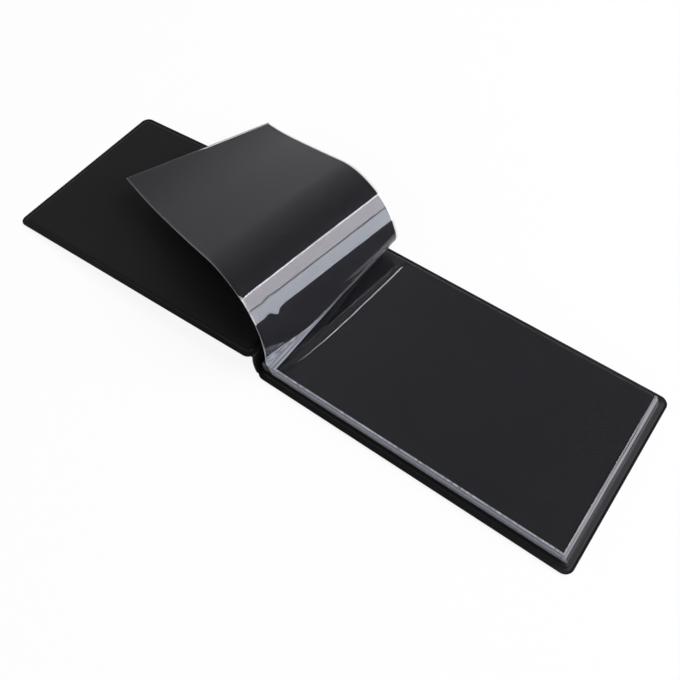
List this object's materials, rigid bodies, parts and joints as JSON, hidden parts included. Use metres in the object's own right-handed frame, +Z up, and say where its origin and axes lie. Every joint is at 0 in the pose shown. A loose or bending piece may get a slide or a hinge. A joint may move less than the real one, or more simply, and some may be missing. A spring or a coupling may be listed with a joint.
{
  "type": "banknote album",
  "caption": "Landscape pocket album for banknotes, lying open: board-stiffened vinyl covers on a soft spine, clear welded pocket leaves with black cards, the first leaf curled in mid-turn.",
  "frame": {"origin": "middle of the back cover's underside", "axes": "+X from the spine to the back cover's fore edge, +Y away from the reader to the pockets' open side, +Z up"},
  "size_m": [0.4119, 0.1635, 0.0513],
  "materials": {
    "cover_vinyl": "grained matte",
    "cover_liner": "smooth matte",
    "cover_board": "raw grey board",
    "pocket_film": "clear gloss",
    "pocket_card": "satin",
    "page_binding": "welded clear film"
  },
  "bodies": {
    "back_cover": {"back_cover_skin": "cover_vinyl", "back_cover_board": "cover_board", "back_cover_liner": "cover_liner", "page_binding": "page_binding"},
    "spine": {"spine_skin": "cover_vinyl", "spine_liner": "cover_liner"},
    "front_cover": {"front_cover_skin": "cover_vinyl", "front_cover_board": "cover_board", "front_cover_liner": "cover_liner"},
    "leaf_01": {"leaf_01_back_film": "pocket_film", "leaf_01_card": "pocket_card", "leaf_01_front_film": "pocket_film"},
    "leaf_02": {"leaf_02_back_film": "pocket_film", "leaf_02_front_film": "pocket_film"},
    "card_02": {"leaf_02_card": "pocket_card"},
    "leaf_03": {"leaf_03_back_film": "pocket_film", "leaf_03_front_film": "pocket_film"},
    "card_03": {"leaf_03_card": "pocket_card"},
    "leaf_04": {"leaf_04_back_film": "pocket_film", "leaf_04_front_film": "pocket_film"},
    "card_04": {"leaf_04_card": "pocket_card"},
    "leaf_05": {"leaf_05_back_film": "pocket_film", "leaf_05_front_film": "pocket_film"},
    "card_05": {"leaf_05_card": "pocket_card"},
    "leaf_06": {"leaf_06_back_film": "pocket_film", "leaf_06_front_film": "pocket_film"},
    "card_06": {"leaf_06_card": "pocket_card"},
    "leaf_07": {"leaf_07_back_film": "pocket_film", "leaf_07_front_film": "pocket_film"},
    "card_07": {"leaf_07_card": "pocket_card"},
    "leaf_08": {"leaf_08_back_film": "pocket_film", "leaf_08_front_film": "pocket_film"},
    "card_08": {"leaf_08_card": "pocket_card"},
    "leaf_09": {"leaf_09_back_film": "pocket_film", "leaf_09_front_film": "pocket_film"},
    "card_09": {"leaf_09_card": "pocket_card"},
    "leaf_10": {"leaf_10_back_film": "pocket_film", "leaf_10_front_film": "pocket_film"},
    "card_10": {"leaf_10_card": "pocket_card"}
  },
  "joints": [
    {"name": "spine_hinge", "type": "hinge", "parent": "back_cover", "child": "spine", "pos_m": [-0.10305, 0, 0.0012], "axis": [0, 1, 0], "range_deg": [0, 3]},
    {"name": "front_cover_hinge", "type": "hinge", "parent": "spine", "child": "front_cover", "pos_m": [-0.10388, 0, 0.01698], "axis": [0, 1, 0], "range_deg": [0, 182.7]},
    {"name": "leaf_01_turn", "type": "hinge", "parent": "back_cover", "child": "leaf_01", "pos_m": [-0.0974, -0.057, 0.01054], "axis": [0.1426, 0.9898, 0], "range_deg": [0, 180], "deforming": ["leaf_01_back_film", "leaf_01_card", "leaf_01_front_film"]},
    {"name": "leaf_02_turn", "type": "hinge", "parent": "back_cover", "child": "leaf_02", "pos_m": [-0.0978, 0, 0.00938], "axis": [0, 1, 0], "range_deg": [-30, 0]},
    {"name": "leaf_03_turn", "type": "hinge", "parent": "back_cover", "child": "leaf_03", "pos_m": [-0.0974, 0, 0.00857], "axis": [0, 1, 0], "range_deg": [-30, 0]},
    {"name": "leaf_04_turn", "type": "hinge", "parent": "back_cover", "child": "leaf_04", "pos_m": [-0.097, 0, 0.00777], "axis": [0, 1, 0], "range_deg": [-30, 0]},
    {"name": "leaf_05_turn", "type": "hinge", "parent": "back_cover", "child": "leaf_05", "pos_m": [-0.0966, 0, 0.00696], "axis": [0, 1, 0], "range_deg": [-30, 0]},
    {"name": "leaf_06_turn", "type": "hinge", "parent": "back_cover", "child": "leaf_06", "pos_m": [-0.0962, 0, 0.00615], "axis": [0, 1, 0], "range_deg": [-30, 0]},
    {"name": "leaf_07_turn", "type": "hinge", "parent": "back_cover", "child": "leaf_07", "pos_m": [-0.0958, 0, 0.00534], "axis": [0, 1, 0], "range_deg": [-30, 0]},
    {"name": "leaf_08_turn", "type": "hinge", "parent": "back_cover", "child": "leaf_08", "pos_m": [-0.0954, 0, 0.00453], "axis": [0, 1, 0], "range_deg": [-30, 0]},
    {"name": "leaf_09_turn", "type": "hinge", "parent": "back_cover", "child": "leaf_09", "pos_m": [-0.095, 0, 0.00371], "axis": [0, 1, 0], "range_deg": [-30, 0]},
    {"name": "leaf_10_turn", "type": "hinge", "parent": "back_cover", "child": "leaf_10", "pos_m": [-0.0946, 0, 0.00291], "axis": [0, 1, 0], "range_deg": [-30, 0]},
    {"name": "card_02_slide", "type": "slide", "parent": "leaf_02", "child": "card_02", "axis": [0, 1, 0], "range_m": [0, 0.105]},
    {"name": "card_03_slide", "type": "slide", "parent": "leaf_03", "child": "card_03", "axis": [0, 1, 0], "range_m": [0, 0.105]},
    {"name": "card_04_slide", "type": "slide", "parent": "leaf_04", "child": "card_04", "axis": [0, 1, 0], "range_m": [0, 0.105]},
    {"name": "card_05_slide", "type": "slide", "parent": "leaf_05", "child": "card_05", "axis": [0, 1, 0], "range_m": [0, 0.105]},
    {"name": "card_06_slide", "type": "slide", "parent": "leaf_06", "child": "card_06", "axis": [0, 1, 0], "range_m": [0, 0.105]},
    {"name": "card_07_slide", "type": "slide", "parent": "leaf_07", "child": "card_07", "axis": [0, 1, 0], "range_m": [0, 0.105]},
    {"name": "card_08_slide", "type": "slide", "parent": "leaf_08", "child": "card_08", "axis": [0, 1, 0], "range_m": [0, 0.105]},
    {"name": "card_09_slide", "type": "slide", "parent": "leaf_09", "child": "card_09", "axis": [0, 1, 0], "range_m": [0, 0.105]},
    {"name": "card_10_slide", "type": "slide", "parent": "leaf_10", "child": "card_10", "axis": [0, 1, 0], "range_m": [0, 0.105]}
  ],
  "couplings": [
    {"joint": "leaf_01_turn", "follows": "front_cover_hinge", "ratio": 0.98522},
    {"joint": "leaf_03_turn", "follows": "leaf_02_turn", "ratio": 0.88889},
    {"joint": "leaf_04_turn", "follows": "leaf_02_turn", "ratio": 0.77778},
    {"joint": "leaf_05_turn", "follows": "leaf_02_turn", "ratio": 0.66667},
    {"joint": "leaf_06_turn", "follows": "leaf_02_turn", "ratio": 0.55556},
    {"joint": "leaf_07_turn", "follows": "leaf_02_turn", "ratio": 0.44444},
    {"joint": "leaf_08_turn", "follows": "leaf_02_turn", "ratio": 0.33333},
    {"joint": "leaf_09_turn", "follows": "leaf_02_turn", "ratio": 0.22222},
    {"joint": "leaf_10_turn", "follows": "leaf_02_turn", "ratio": 0.11111}
  ]
}
